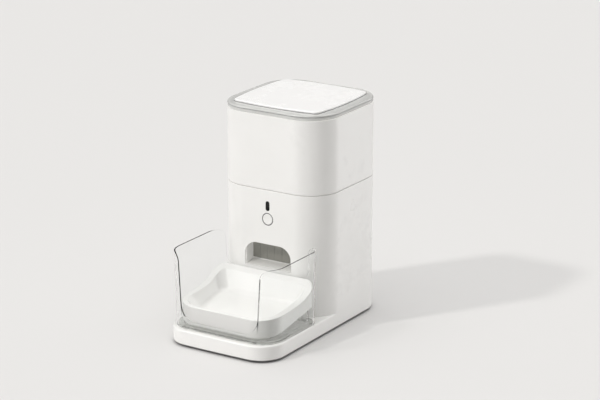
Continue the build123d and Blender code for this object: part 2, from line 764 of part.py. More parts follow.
def feed_button():
    """Round button with a slightly dished face and a flange behind the wall."""
    cap = facing(Pos(0, BUTTON_Z) * Circle(BUTTON_R), TOWER_FRONT - 0.2, INNER_FRONT + 0.2)
    cap = fillet(cap.edges().filter_by(GeomType.CIRCLE).sort_by(Axis.Y)[0], 0.6)
    flange = facing(Pos(0, BUTTON_Z) * Circle(BUTTON_FLANGE_R), INNER_FRONT + 0.2, INNER_FRONT + 1.5)
    dish = Pos(0, TOWER_FRONT - 0.2 - DISH_R + 0.45, BUTTON_Z) * Sphere(DISH_R)
    return cap + flange - dish


# Catches --------------------------------------------------------------------


def catch(side):
    """Push catch in the side wall, with a finger that reaches up past the deck."""
    face = Pos(CATCH_Y, CATCH_Z) * RectangleRounded(CATCH_W - 0.7, CATCH_H - 0.7, CATCH_R - 0.35)
    flange_h = CATCH_H + CATCH_FLANGE
    back = Pos(CATCH_Y, CATCH_Z) * RectangleRounded(CATCH_W + CATCH_FLANGE, flange_h, CATCH_R)
    inner = HALF - WALL
    body = sideways(face, inner - 0.4, HALF)
    body += sideways(back, inner - 1.9, inner - 0.4)
    body += block(inner - 5.6, inner - 1.9, CATCH_Y - 4, CATCH_Y + 4, CATCH_Z - 4, CATCH_Z + 5)
    body += block(inner - 5.6, inner - 4.0, CATCH_Y - 4, CATCH_Y + 4, CATCH_Z + 4, PLATE_Z + PLATE_T + 5)
    return body if side > 0 else mirror(body, Plane.YZ)


def catch_spring(side):
    """Bowed leaf spring between the catch and the deck's rib."""
    rib = PUSH_RIB_X
    reach = HALF - WALL - 5.6 - rib
    bow = ThreePointArc((rib + 0.2, CATCH_Y - 7), (rib + reach - 0.2, CATCH_Y), (rib + 0.2, CATCH_Y + 7))
    inner = ThreePointArc((rib + 0.2, CATCH_Y - 6), (rib + reach - 0.7, CATCH_Y), (rib + 0.2, CATCH_Y + 6))
    ends = [Line(bow @ 0, inner @ 0), Line(bow @ 1, inner @ 1)]
    leaf = slab(make_face(Curve() + [bow, inner] + ends), CATCH_Z - 4, CATCH_Z + 3)
    return leaf if side > 0 else mirror(leaf, Plane.YZ)


# Hopper ---------------------------------------------------------------------

def hopper_shell():
    """Outer shell of the food bin, with a skirt that drops inside the lower tower."""
    shell = slab(tower_outline(), HOPPER_Z, RIM_Z)
    shell = fillet(shell.edges().filter_by_position(Axis.Z, HOPPER_Z - 0.01, HOPPER_Z + 0.01), 0.9)
    shell = fillet(shell.edges().filter_by_position(Axis.Z, RIM_Z - 0.01, RIM_Z + 0.01), 0.6)
    shell -= slab(tower_outline(WALL), HOPPER_Z - 1, RIM_Z + 1)
    skirt = slab(tower_outline(WALL + 0.4), PLATE_Z + PLATE_T, HOPPER_Z + 4)
    skirt += slab(tower_outline(WALL - 0.3), HOPPER_Z + 1, HOPPER_Z + 4)
    return shell + (skirt - slab(tower_outline(WALL + 2.2), 200, 300))


def funnel_solid(inset, z_top, z_low):
    """The funnel's form, narrowing at 45 degrees from the walls."""
    return extrude(Pos(0, 0, z_top) * tower_outline(WALL + FIT + inset), amount=z_top - z_low,
                   dir=(0, 0, -1), taper=45)


def hopper_funnel():
    """Sloped floor of the bin, down to a round mouth over the rotor."""
    slope = FUNNEL_T * sqrt(2)
    funnel = funnel_solid(0, FUNNEL_TOP_Z, FUNNEL_Z)
    funnel -= funnel_solid(slope, FUNNEL_TOP_Z, FUNNEL_Z + FUNNEL_T)
    funnel += disc(MOUTH_R + FUNNEL_T, PLATE_Z + PLATE_T + 4, FUNNEL_Z + 1, 0, MOUTH_Y)
    return funnel - disc(MOUTH_R, 200, 300, 0, MOUTH_Y)


# Lid ------------------------------------------------------------------------


def lid_plate_outline(gap=0.0):
    """Outline of the sunk top plate."""
    half_x = HALF - PLATE_INSET + gap
    half_y = TOWER_DEPTH / 2 - PLATE_INSET + gap
    return Pos(0, TOWER_Y) * soft_square(half_x, half_y, PLATE_R + gap, PLATE_BULGE)


def lid_frame():
    """Clear frame round the lid, with a step at half height and a seat for the plate."""
    frame = slab(tower_outline(0.4), RIM_Z + 0.5, FRAME_TOP_Z)
    frame = fillet(frame.edges().filter_by_position(Axis.Z, FRAME_TOP_Z - 0.01, FRAME_TOP_Z + 0.01), 2.4)
    frame = fillet(frame.edges().filter_by_position(Axis.Z, RIM_Z + 0.49, RIM_Z + 0.51), 0.8)
    frame -= slab(lid_plate_outline(0.35), PLATE_SEAT_Z, FRAME_TOP_Z + 1)
    plug = slab(tower_outline(WALL + 1.0), RIM_Z - 4, RIM_Z + 1) - slab(tower_outline(WALL + 3.2), 300, 360)
    return frame + plug


def lid_plate():
    """White top plate, a square with bowed sides."""
    plate = slab(lid_plate_outline(), PLATE_SEAT_Z, TOP_Z)
    return fillet(plate.edges().filter_by_position(Axis.Z, TOP_Z - 0.01, TOP_Z + 0.01), 1.6)


def lid_seal():
    """Soft seal under the frame, with two lips that stop short of the wall."""
    seal = slab(tower_outline(WALL + 3.4), RIM_Z - 8, RIM_Z + 0.5)
    for z in (RIM_Z - 7.5, RIM_Z - 5.2):
        seal += slab(tower_outline(WALL + 0.5), z, z + 0.9)
    return seal - slab(tower_outline(WALL + 5.6), 300, 360)


def desiccant_box():
    """Round cup under the lid for the drying bag."""
    top = RIM_Z + 0.5
    cup = disc(CUP_R, top - CUP_H, top, 0, TOWER_Y)
    return cup - disc(CUP_R - CUP_T, top - CUP_H - 1, top - CUP_T, 0, TOWER_Y)


def desiccant_cap():
    """Slotted cap of the cup."""
    z1 = RIM_Z + 0.5 - CUP_H
    cap = disc(CUP_R, z1 - 2, z1, 0, TOWER_Y)
    cap += disc(CUP_R - CUP_T - 0.2, z1, z1 + 2.5, 0, TOWER_Y) - disc(CUP_R - CUP_T - 2, 300, z1 + 4, 0, TOWER_Y)
    for i in range(-3, 4):
        half = sqrt((CUP_R - 7) ** 2 - (6.5 * i) ** 2)
        slot = Pos(6.5 * i, TOWER_Y) * Rectangle(2.2, 2 * half)
        cap -= slab(slot, z1 - 5, z1 + 1)
    return cap


# Bowl, cradle and guard -----------------------------------------------------

TILT = atan2(UNDER_BACK_Z - UNDER_FRONT_Z, BOWL_BACK - BOWL_FRONT)
BOWL_LENGTH = BOWL_BACK - BOWL_FRONT
UNDER_PLANE = Plane(
    origin=(0, (BOWL_FRONT + BOWL_BACK) / 2, (UNDER_FRONT_Z + UNDER_BACK_Z) / 2),
    x_dir=(1, 0, 0),
    z_dir=(0, -sin(TILT), cos(TILT)),
)


def above_under(edge):
    """How far an edge's middle lies above the plane of the bowl's underside."""
    return UNDER_PLANE.to_local_coords(edge.center()).Z


def under_space(height):
    """Everything below this height over the plane of the bowl's underside."""
    return UNDER_PLANE * Pos(0, 0, height - 150) * Box(400, 400, 300)


def rim_height(y):
    """Height of the bowl's rim along its side."""
    u = (y - BOWL_FRONT) / BOWL_LENGTH
    return RIM_FRONT_Z + RIM_RISE * u + RIM_KICK * u**6


def rim_space(grow=0.0):
    """Everything below the rim's curve."""
    ys = [BOWL_FRONT + BOWL_LENGTH * i / 8 for i in range(-1, 9)] + [BOWL_BACK + 4]
    curve = Spline(*[(y, (rim_height(y) if y > BOWL_FRONT else RIM_FRONT_Z - 0.5) + grow) for y in ys])
    start, end = curve @ 0, curve @ 1
    low = Polyline((end.X, end.Y), (end.X, -50), (start.X, -50), (start.X, start.Y))
    return sideways(make_face(Curve() + [curve, low]), -120, 120)


def bowl_skin(grow=0.0):
    """Outside of the bowl: upright walls between the rim's curve and a sloping underside."""
    plan = trapezoid(BOWL_HALF_F + grow, BOWL_HALF_B + grow, BOWL_FRONT - grow, BOWL_BACK + grow,
                     BOWL_RF + grow, BOWL_RB + grow)
    return slab(plan, 0, 110) - under_space(-grow)


def plane_outline(front, back, side_f, side_b, r_trim):
    """Outline drawn in the underside's plane, moved inwards by these amounts."""
    half = BOWL_LENGTH / 2 / cos(TILT)
    return trapezoid(BOWL_HALF_F - side_f, BOWL_HALF_B - side_b, -half + front, half - back,
                     BOWL_RF - r_trim, BOWL_RB - r_trim)


def bowl_hollow(grow=0.0):
    """The space for food, with sloping walls and a flat floor."""
    shift = HOLLOW_H * sin(TILT)
    side = BOWL_WALL - 4.6 - grow
    top = UNDER_PLANE * Pos(0, 0, BOWL_FLOOR + HOLLOW_H) * plane_outline(
        side + shift, BOWL_WALL - 0.6 - grow - shift, side, BOWL_WALL - 1.2 - grow, BOWL_WALL - grow)
    low = UNDER_PLANE * Pos(0, 0, BOWL_FLOOR - grow) * plane_outline(
        FLOOR_TRIM_F - grow, FLOOR_TRIM_B - grow, FLOOR_TRIM_SIDE - grow, FLOOR_TRIM_SIDE - grow, 4.0 - grow)
    return loft([top, low], ruled=True)


def food_bowl():
    """Bowl with a raised back and sloping inner walls, its floor tipped down towards the pet."""
    outside = bowl_skin()
    outside = fillet(outside.edges().filter_by(lambda e: abs(above_under(e)) < 0.1), 2.4)
    hollow = bowl_hollow()
    hollow = fillet(hollow.edges().filter_by(lambda e: abs(above_under(e) - BOWL_FLOOR) < 0.1), FLOOR_FILLET)
    bowl = (outside & rim_space()) - hollow
    rim = [e for e in bowl.edges() if abs(e.center().Z - rim_height(e.center().Y)) < 0.6 and above_under(e) > 20]
    bowl = fillet(rim, 1.2)
    wall = BOWL_WALL
    plan = trapezoid(BOWL_HALF_F - wall, BOWL_HALF_B - wall, BOWL_FRONT + wall, BOWL_BACK - wall,
                     BOWL_RF - wall, BOWL_RB - wall)
    groove = (slab(plan, 0, 110) & rim_space(-UNDER_GROOVE_CAP)) - bowl_hollow(wall)
    return bowl - groove


def guard_face(inset, flare):
    """Outline of the guard, moved inwards, or flared outwards at the sides and front."""
    half = GUARD_HALF - inset + flare
    return trapezoid(half, half, GUARD_FRONT + inset - flare * 0.5, GUARD_BACK - inset,
                     GUARD_RF - inset, GUARD_RB - inset)


def guard_form(inset):
    """The guard's upright form as a solid."""
    low = Pos(0, 0, DECK_Z) * guard_face(inset, 0)
    top = Pos(0, 0, GUARD_Z1) * guard_face(inset, GUARD_FLARE)
    return loft([low, top], ruled=True)


def cut_profile(half_low, half_top, z_low, r_low, r_top):
    """A U-shaped cut, drawn in X and Z, whose upper ends turn outwards."""
    z_top = GUARD_Z1
    wide = half_top + r_top
    points = [(half_low, z_low), (half_top, z_top), (wide + 40, z_top), (wide + 40, z_top + 30)]
    outline = [(-x, z) for x, z in reversed(points)] + points
    face = make_face(Polyline(*outline, close=True))
    low = [v for v in face.vertices() if abs(v.Y - z_low) < 1e-6]
    face = fillet(low, r_low)
    top = [v for v in face.vertices() if abs(abs(v.X) - half_top) < 1e-6 and abs(v.Y - z_top) < 1e-6]
    return fillet(top, r_top)


def splash_guard():
    """Clear wall round the bowl: low in front, cut out behind, tall at the sides."""
    wall = guard_form(0) - guard_form(GUARD_T)
    rear = cut_profile(REAR_CUT_HALF - 2, REAR_CUT_HALF, REAR_CUT_Z, REAR_CUT_R, REAR_TIP_R)
    front = cut_profile(FRONT_CUT_HALF - 6, FRONT_CUT_HALF, FRONT_CUT_Z, FRONT_CUT_R, FRONT_TIP_R)
    wall -= facing(rear, GUARD_BACK - 30, GUARD_BACK + 10)
    wall -= facing(front, GUARD_FRONT - 20, GUARD_FRONT + GUARD_RF)
    return wall


def bowl_cradle():
    """Clear stepped stand that follows the bowl's underside."""
    inset = GUARD_T + CRADLE_GAP
    foot = slab(guard_face(inset, 0), DECK_Z, DECK_Z + CRADLE_FOOT_T)
    inner = guard_face(inset + 9, 0)
    foot -= slab(inner, 0, 100)
    wall = slab(guard_face(inset + 7, 0), DECK_Z, 80) - slab(guard_face(inset + 7 + CRADLE_WALL, 0), 0, 100)
    wall &= under_space(CRADLE_LIP)
    return foot + wall - bowl_skin(0.4)


def build():
    """Every sub-part by its name."""
    return {
        "main_housing": main_housing(),
        "bottom_cover": bottom_cover(),
        "cover_screws": cover_screws(),
        "rubber_feet": rubber_feet(),
        "battery_door": battery_door(),
        "battery_door_screw": battery_door_screw(),
        "battery_box": battery_box(),
        "battery_cells": battery_cells(),
        "battery_contacts": battery_contacts(),
        "power_socket": power_socket(),
        "dispenser_deck": dispenser_deck(),
        "rotor_cover": rotor_cover(),
        "deck_screws": deck_screws(),
        "outlet_chute": outlet_chute(),
        "outlet_flap": outlet_flap(),
        "food_sensors": food_sensors(),
        "motor_bracket": motor_bracket(),
        "gear_motor": gear_motor(),
        "motor_screws": motor_screws(),
        "circuit_board": circuit_board(),
        "board_chips": board_chips(),
        "board_standoffs": board_standoffs(),
        "feed_switch": feed_switch(),
        "status_lamp": status_lamp(),
        "status_window": status_window(),
        "button_ring": button_ring(),
        "catch_spring_left": catch_spring(-1),
        "catch_spring_right": catch_spring(1),
        "rotor_hub": rotor_hub(),
        "paddle_blades": paddle_blades(),
        "rotor_shaft": rotor_shaft(),
        "retaining_clip": retaining_clip(),
        "driven_gear": driven_gear(),
        "stirrer": stirrer(),
        "pinion_gear": pinion_gear(),
        "motor_shaft": motor_shaft(),
        "feed_button": feed_button(),
        "catch_left": catch(-1),
        "catch_right": catch(1),
        "hopper_shell": hopper_shell(),
        "hopper_funnel": hopper_funnel(),
        "lid_frame": lid_frame(),
        "lid_plate": lid_plate(),
        "lid_seal": lid_seal(),
        "desiccant_box": desiccant_box(),
        "desiccant_cap": desiccant_cap(),
        "splash_guard": splash_guard(),
        "bowl_cradle": bowl_cradle(),
        "food_bowl": food_bowl(),
    }


os.makedirs("parts", exist_ok=True)
for name, shape in build().items():
    export(shape, name)
    print(name, len(shape.solids()), round(shape.volume))
print("bowl tilt", round(degrees(TILT), 1), "degrees")
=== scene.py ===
# %% [markdown]
# # An automatic pet feeder, finished in Blender
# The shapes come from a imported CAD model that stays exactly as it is. This lesson
# gives each moulding, clear part, rubber pad and metal fitting its finish, adds the
# small fittings that are made in mesh code, and lights the whole in a pale studio.

# %% Load the frame
import json
import math

import bmesh
import bpy
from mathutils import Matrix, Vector


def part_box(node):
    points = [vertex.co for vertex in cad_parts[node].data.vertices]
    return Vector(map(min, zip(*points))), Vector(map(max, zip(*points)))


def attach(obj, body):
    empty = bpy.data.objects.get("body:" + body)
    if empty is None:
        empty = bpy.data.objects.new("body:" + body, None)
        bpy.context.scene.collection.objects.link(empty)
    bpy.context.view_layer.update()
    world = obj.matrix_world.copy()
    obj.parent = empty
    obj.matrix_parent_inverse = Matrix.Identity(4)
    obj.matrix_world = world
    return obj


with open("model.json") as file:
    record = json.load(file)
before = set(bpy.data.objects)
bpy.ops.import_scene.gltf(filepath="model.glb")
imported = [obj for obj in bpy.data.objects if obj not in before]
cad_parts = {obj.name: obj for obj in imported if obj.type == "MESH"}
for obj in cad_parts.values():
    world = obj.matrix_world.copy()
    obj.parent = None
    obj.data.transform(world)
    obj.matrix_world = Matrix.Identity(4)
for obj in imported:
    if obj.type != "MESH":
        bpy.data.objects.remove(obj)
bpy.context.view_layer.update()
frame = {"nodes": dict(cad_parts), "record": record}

nodes = frame["nodes"]
scene = bpy.context.scene

# %% [markdown]
# ## Helpers for shader trees
# A material is a tree of small nodes. Typing the same three lines for every node is
# slow to read, so `Tree` wraps a node tree: it adds a node, sets its plain values by
# socket name, and links a socket when the value given is itself a socket.

# %% A short way to write node trees


class Tree:
    """A node tree with one call per node."""

    def __init__(self, tree):
        self.tree = tree

    def put(self, socket, value):
        if isinstance(value, bpy.types.NodeSocket):
            self.tree.links.new(value, socket)
        else:
            socket.default_value = value

    def node(self, kind, out=0, settings=None, **inputs):
        n = self.tree.nodes.new(kind)
        for key, value in (settings or {}).items():
            setattr(n, key, value)
        for key, value in inputs.items():
            self.put(n.inputs[key.replace("_", " ")], value)
        return n.outputs[out]

    def math(self, operation, a, b=0.0, clamp=False):
        n = self.tree.nodes.new("ShaderNodeMath")
        n.operation, n.use_clamp = operation, clamp
        self.put(n.inputs[0], a)
        self.put(n.inputs[1], b)
        return n.outputs[0]

    def mix_colour(self, share, a, b):
        n = self.tree.nodes.new("ShaderNodeMix")
        n.data_type = "RGBA"
        self.put(n.inputs["Factor"], share)
        self.put(n.inputs[6], a)
        self.put(n.inputs[7], b)
        return n.outputs[2]

    def span(self, value, low, high, to_low=0.0, to_high=1.0):
        n = self.tree.nodes.new("ShaderNodeMapRange")
        for i, v in enumerate((value, low, high, to_low, to_high)):
            self.put(n.inputs[i], v)
        return n.outputs[0]


def rgb(r, g, b):
    """A linear colour from the three values that a colour picker shows."""
    def linear(c):
        c /= 255
        return c / 12.92 if c <= 0.04045 else ((c + 0.055) / 1.055) ** 2.4
    return (linear(r), linear(g), linear(b), 1.0)


print("tree helpers ready; mid grey is", round(rgb(128, 128, 128)[0], 3))

# %% [markdown]
# ## Shared effects
# Moulded plastic isn't one flat colour: the pigment clouds a little, the tool leaves a
# fine grain, and gloss changes slightly from place to place. Those effects repeat in
# most materials, so each is a node group, built once and placed with its own values.
# A group puts out colours, masks and heights only. The shader stays in the material.

# %% Group helper


def new_group(name, inputs, outputs):
    """An empty shader node group with float or colour sockets."""
    group = bpy.data.node_groups.new(name, "ShaderNodeTree")
    for label, value in inputs:
        kind = "NodeSocketColor" if isinstance(value, tuple) else "NodeSocketFloat"
        socket = group.interface.new_socket(label, in_out="INPUT", socket_type=kind)
        socket.default_value = value
    for label, kind in outputs:
        group.interface.new_socket(label, in_out="OUTPUT", socket_type=kind)
    t = Tree(group)
    return group, t, group.nodes.new("NodeGroupInput").outputs, group.nodes.new("NodeGroupOutput").inputs


COLOUR, VALUE = "NodeSocketColor", "NodeSocketFloat"
print("group helper ready")

# %% Moulded skin: clouded pigment, fine tool grain, uneven gloss
skin, t, given, result = new_group(
    "moulded_skin",
    [("Pigment", (0.8, 0.8, 0.8, 1.0)), ("Cloud", (0.75, 0.75, 0.75, 1.0)), ("Cloud Scale", 14.0),
     ("Grain Scale", 2600.0), ("Gloss Low", 0.25), ("Gloss High", 0.35)],
    [("Colour", COLOUR), ("Roughness", VALUE), ("Height", VALUE)],
)
where = t.node("ShaderNodeTexCoord", "Object")
clouds = t.node("ShaderNodeTexNoise", Vector=where, Scale=given["Cloud Scale"], Detail=4.0, Roughness=0.6)
grain = t.node("ShaderNodeTexNoise", Vector=where, Scale=given["Grain Scale"], Detail=2.0, Roughness=0.55)
soft = t.span(clouds, 0.35, 0.65)
t.put(result["Colour"], t.mix_colour(soft, given["Pigment"], given["Cloud"]))
uneven = t.math("ADD", t.math("MULTIPLY", clouds, 0.7), t.math("MULTIPLY", grain, 0.3))
t.put(result["Roughness"], t.span(uneven, 0.35, 0.65, given["Gloss Low"], given["Gloss High"]))
t.put(result["Height"], grain)
print("group", skin.name, "has", len(skin.nodes), "nodes")

# %% Settled dust: on faces that look up, in soft patches
dust, t, given, result = new_group(
    "settled_dust", [("Amount", 0.1), ("Patch Scale", 30.0)], [("Mask", VALUE)])
facing_up = t.node("ShaderNodeSeparateXYZ", "Z", Vector=t.node("ShaderNodeNewGeometry", "Normal"))
where = t.node("ShaderNodeTexCoord", "Object")
patches = t.node("ShaderNodeTexNoise", Vector=where, Scale=given["Patch Scale"], Detail=6.0, Roughness=0.7)
up = t.span(facing_up, 0.55, 0.95)
t.put(result["Mask"], t.math("MULTIPLY", t.math("MULTIPLY", up, t.span(patches, 0.4, 0.7)), given["Amount"]))
print("group", dust.name, "has", len(dust.nodes), "nodes")

# %% Fine scuffs: thin, long marks left by wiping
scuffs, t, given, result = new_group(
    "fine_scuffs", [("Scale", 60.0), ("Stretch", 14.0), ("Reach", 0.5)], [("Mask", VALUE)])
where = t.node("ShaderNodeTexCoord", "Object")
stretched = t.node("ShaderNodeMapping", Vector=where, Rotation=(0.5, 0.9, 0.3))
stretch = stretched.node
along = t.node("ShaderNodeCombineXYZ", X=1.0, Y=given["Stretch"], Z=1.0)
t.put(stretch.inputs["Scale"], along)
lines = t.node("ShaderNodeTexNoise", Vector=stretched, Scale=given["Scale"], Detail=5.0, Roughness=0.75)
thin = t.math("SUBTRACT", 1.0, t.span(t.math("ABSOLUTE", t.math("SUBTRACT", lines, 0.5)), 0.0, 0.012))
places = t.node("ShaderNodeTexNoise", Vector=where, Scale=9.0, Detail=2.0)
t.put(result["Mask"], t.math("MULTIPLY", thin, t.span(places, given["Reach"], 0.75), clamp=True))
print("group", scuffs.name, "has", len(scuffs.nodes), "nodes")

# %% Cut edge: finds the narrow faces of a clear sheet by the way that they look
# The mask marks where painted shade goes on a clear sheet: its level and cut faces, and with Band a thin
# strip of wall beside the guard's cut curve.
CUT_LOW_Z, CUT_TIP_Z = 0.039, 0.1416
CUT_LOW_X, CUT_TIP_X = 0.067, 0.073
CUT_FRONT_Y, CUT_BAND_TOP = -0.12, 0.128
FADE_UP, FADE_FORWARD = 0.014, 0.01
cut_edge, t, given, result = new_group(
    "cut_edge", [("Half Width", 0.08), ("Up Share", 1.0), ("Low Fade", 0.03), ("Back Fade", 0.5),
     ("Band", 0.0)], [("Mask", VALUE)])
normal = t.node("ShaderNodeSeparateXYZ", Vector=t.node("ShaderNodeNewGeometry", "Normal")).node.outputs
place = t.node("ShaderNodeSeparateXYZ", Vector=t.node("ShaderNodeTexCoord", "Object")).node.outputs
level = t.span(t.math("ABSOLUTE", normal["Z"]), 0.35, 0.75)
no_depth = t.math("SUBTRACT", 1.0, t.span(t.math("ABSOLUTE", normal["Y"]), 0.1, 0.3))
inside = t.math("LESS_THAN", t.math("ABSOLUTE", place["X"]), given["Half Width"])
upright = t.math("MULTIPLY", no_depth, inside)
cut_x = t.span(place["Z"], CUT_LOW_Z, CUT_TIP_Z, CUT_LOW_X, CUT_TIP_X)
off_cut = t.math("ABSOLUTE", t.math("SUBTRACT", t.math("ABSOLUTE", place["X"]), cut_x))
in_front = t.math("LESS_THAN", place["Y"], CUT_FRONT_Y)
below_tip = t.math("LESS_THAN", place["Z"], CUT_BAND_TOP)
near_cut = t.math("LESS_THAN", off_cut, given["Band"])
band = t.math("MULTIPLY", near_cut, t.math("MULTIPLY", in_front, below_tip))
upright = t.math("MAXIMUM", upright, band)
both = t.math("MAXIMUM", t.math("MULTIPLY", level, given["Up Share"]), upright, clamp=True)
fade_low = t.span(place["Z"], given["Low Fade"], t.math("ADD", given["Low Fade"], FADE_UP))
fade_back = t.span(place["Y"], given["Back Fade"], t.math("SUBTRACT", given["Back Fade"], FADE_FORWARD))
t.put(result["Mask"], t.math("MULTIPLY", both, t.math("MULTIPLY", fade_low, fade_back)))
print("group", cut_edge.name, "has", len(cut_edge.nodes), "nodes")

# %% Turned metal: fine rings or streaks along one direction
turned, t, given, result = new_group(
    "turned_metal", [("Streak Scale", 900.0), ("Rough Low", 0.25), ("Rough High", 0.45)],
    [("Roughness", VALUE), ("Height", VALUE)])
where = t.node("ShaderNodeTexCoord", "Object")
flat = t.node("ShaderNodeVectorMath", Vector=where, settings={"operation": "MULTIPLY"})
flat.node.inputs[1].default_value = (1.0, 1.0, 14.0)
streaks = t.node("ShaderNodeTexNoise", Vector=flat, Scale=given["Streak Scale"], Detail=3.0)
t.put(result["Roughness"], t.span(streaks, 0.3, 0.7, given["Rough Low"], given["Rough High"]))
t.put(result["Height"], streaks)
print("group", turned.name, "has", len(turned.nodes), "nodes")

# %% [markdown]
# ## A place for each finish
# Every material starts the same way: a Principled shader and an output. `finish`
# makes the two, sets the plain constants on the shader's own sockets, and hands
# back the tree, so that each material's cell shows only what makes it different.

# %% Material helper
MATERIALS = {}


def finish(name, **constants):
    """A new material with one Principled shader."""
    material = bpy.data.materials.new(name)
    material.use_nodes = True
    tree = Tree(material.node_tree)
    shader = material.node_tree.nodes["Principled BSDF"]
    for key, value in constants.items():
        shader.inputs[key.replace("_", " ")].default_value = value
    MATERIALS[name] = material
    return tree, shader


def place_group(tree, group, **inputs):
    """A node group in a material, with its own values."""
    n = tree.tree.nodes.new("ShaderNodeGroup")
    n.node_tree = group
    for key, value in inputs.items():
        tree.put(n.inputs[key.replace("_", " ")], value)
    return n.outputs


def bump(tree, shader, height, strength, distance):
    """Feeds a height to the shader as relief."""
    normal = tree.node("ShaderNodeBump", Height=height, Strength=strength, Distance=distance)
    tree.put(shader.inputs["Normal"], normal)


DUST_COLOUR = (0.5, 0.48, 0.44, 1.0)


def moulded(name, pigment, cloud, gloss, grain, depth, dust_amount=0.0, **constants):
    """A moulded plastic: clouded pigment, grain in the gloss and in the relief, and some dust."""
    tree, shader = finish(name, **constants)
    out = place_group(tree, skin, Pigment=pigment, Cloud=cloud, Grain_Scale=grain,
                      Gloss_Low=gloss[0], Gloss_High=gloss[1])
    colour, roughness = out["Colour"], out["Roughness"]
    if dust_amount:
        mask = place_group(tree, dust, Amount=dust_amount)["Mask"]
        colour = tree.mix_colour(mask, colour, DUST_COLOUR)
        roughness = tree.math("ADD", roughness, tree.math("MULTIPLY", mask, 0.5), clamp=True)
    wiped = place_group(tree, scuffs)["Mask"]
    roughness = tree.math("ADD", roughness, tree.math("MULTIPLY", wiped, 0.06), clamp=True)
    tree.put(shader.inputs["Base Color"], colour)
    tree.put(shader.inputs["Roughness"], roughness)
    bump(tree, shader, out["Height"], 0.35, depth)


print("material helpers ready")

# %% [markdown]
# ## White mouldings
# The shell is white plastic with a satin face: the tool was lightly etched, so a lamp
# shows in it as a wide soft glow. The bowl is smoother, because food has to wipe off,
# and its colour is a little brighter, which shows only on its undercut sides as painted
# light. The lid's plate is the palest. All keep a trace of warmth, as white pigment does.

# %% White plastics
moulded("white_shell", (0.842, 0.835, 0.818, 1.0), (0.826, 0.818, 0.80, 1.0), (0.26, 0.34), 2400.0, 0.00004,
        dust_amount=0.003, IOR=1.49)
moulded("white_plate", (0.955, 0.95, 0.942, 1.0), (0.94, 0.935, 0.927, 1.0), (0.22, 0.3), 2400.0, 0.00003,
        IOR=1.49)
moulded("white_bowl", (0.94, 0.937, 0.92, 1.0), (0.93, 0.927, 0.91, 1.0), (0.14, 0.2), 1500.0, 0.00002,
        IOR=1.5)
moulded("inner_white", (0.76, 0.755, 0.735, 1.0), (0.72, 0.715, 0.69, 1.0), (0.42, 0.55), 1900.0, 0.00008,
        dust_amount=0.12, IOR=1.46)
print("white plastics:", len(MATERIALS))

# %% [markdown]
# ## Painted shade on the shell and the bowl
# The lower rim of the base, where it turns under towards the floor, is made near black as
# painted shade for the gap under the base. The bowl keeps its brighter colour on its
# undercut sides as painted light, its faces that look up get a painted shade a little deeper
# in tone, and its outer front and back get a deeper painted shade. Each is a mask over the
# same plastic, made from where a point lies and which way it faces.

# %% Painted shade on the shell's foot, and on the bowl's upward faces, front and back


def insert_before_colour(name, mask_of, colour):
    """Mixes another colour into a finish where mask_of gives one."""
    material = MATERIALS[name]
    tree = Tree(material.node_tree)
    shader = material.node_tree.nodes["Principled BSDF"]
    before = shader.inputs["Base Color"].links[0].from_socket
    tree.put(shader.inputs["Base Color"], tree.mix_colour(mask_of(tree), before, colour))


FOOT_LINE_LOW, FOOT_LINE_HIGH = 0.0034, 0.005
BOWL_MIDDLE = (0.0, -0.088, 0.06)


def painted_foot_shade(tree):
    """Painted shade: one at the underside's rounding, zero above it."""
    z = tree.node("ShaderNodeSeparateXYZ", "Z", Vector=tree.node("ShaderNodeTexCoord", "Object"))
    return tree.math("SUBTRACT", 1.0, tree.span(z, FOOT_LINE_LOW, FOOT_LINE_HIGH))


def painted_upward_shade(tree):
    """Painted shade: one on the bowl's faces that look up, zero on its undercut outside."""
    up = tree.node("ShaderNodeSeparateXYZ", "Z", Vector=tree.node("ShaderNodeNewGeometry", "Normal"))
    return tree.span(up, 0.02, 0.2)


def painted_front_back_shade(tree):
    """Painted shade: one on the outer walls across the bowl's front and back, zero on its sides."""
    place = tree.node("ShaderNodeTexCoord", "Object")
    away = tree.node("ShaderNodeVectorMath", Vector=place, settings={"operation": "SUBTRACT"})
    away.node.inputs[1].default_value = BOWL_MIDDLE
    level = tree.node("ShaderNodeVectorMath", Vector=away, settings={"operation": "MULTIPLY"})
    level.node.inputs[1].default_value = (0.0, 1.0, 0.0)
    facing = tree.tree.nodes.new("ShaderNodeVectorMath")
    facing.operation = "DOT_PRODUCT"
    tree.put(facing.inputs[0], level)
    tree.put(facing.inputs[1], tree.node("ShaderNodeNewGeometry", "Normal"))
    return tree.span(facing.outputs["Value"], 0.005, 0.03)


# Painted shade: the shell's underside rounding is made near black, as the shaded gap under the base.
insert_before_colour("white_shell", painted_foot_shade, (0.015, 0.015, 0.015, 1.0))
# Painted shade: the bowl's outer front and back are made darker than its sides.
insert_before_colour("white_bowl", painted_front_back_shade, (0.7, 0.695, 0.68, 1.0))
# Painted shade on the bowl's faces that look up; its undercut sides keep the brighter colour as painted
# light.
insert_before_colour("white_bowl", painted_upward_shade, (0.79, 0.788, 0.77, 1.0))
# Painted shade: the bottom cover and battery door are dark grey so that the gap under the base stays dark.
moulded("cover_grey", (0.1, 0.1, 0.1, 1.0), (0.085, 0.085, 0.085, 1.0), (0.45, 0.58), 1900.0, 0.00008,
        dust_amount=0.1)
print("foot line, bowl front and back, and bowl inside in place")

# %% [markdown]
# ## Clear mouldings
# Clear plastic is glass with a low index. Two things make it believable here. Its cut
# edges look dark, because light that enters an edge leaves somewhere else; that darkness is
# painted into the colour as painted shade, on the guard also along a thin strip of wall
# beside its cut curve. And it lets lamps through: a path tracer would otherwise give it the
# shadow of a solid, so rays that look for lamps meet a Transparent shader with a slight tint instead.

# %% Clear plastics


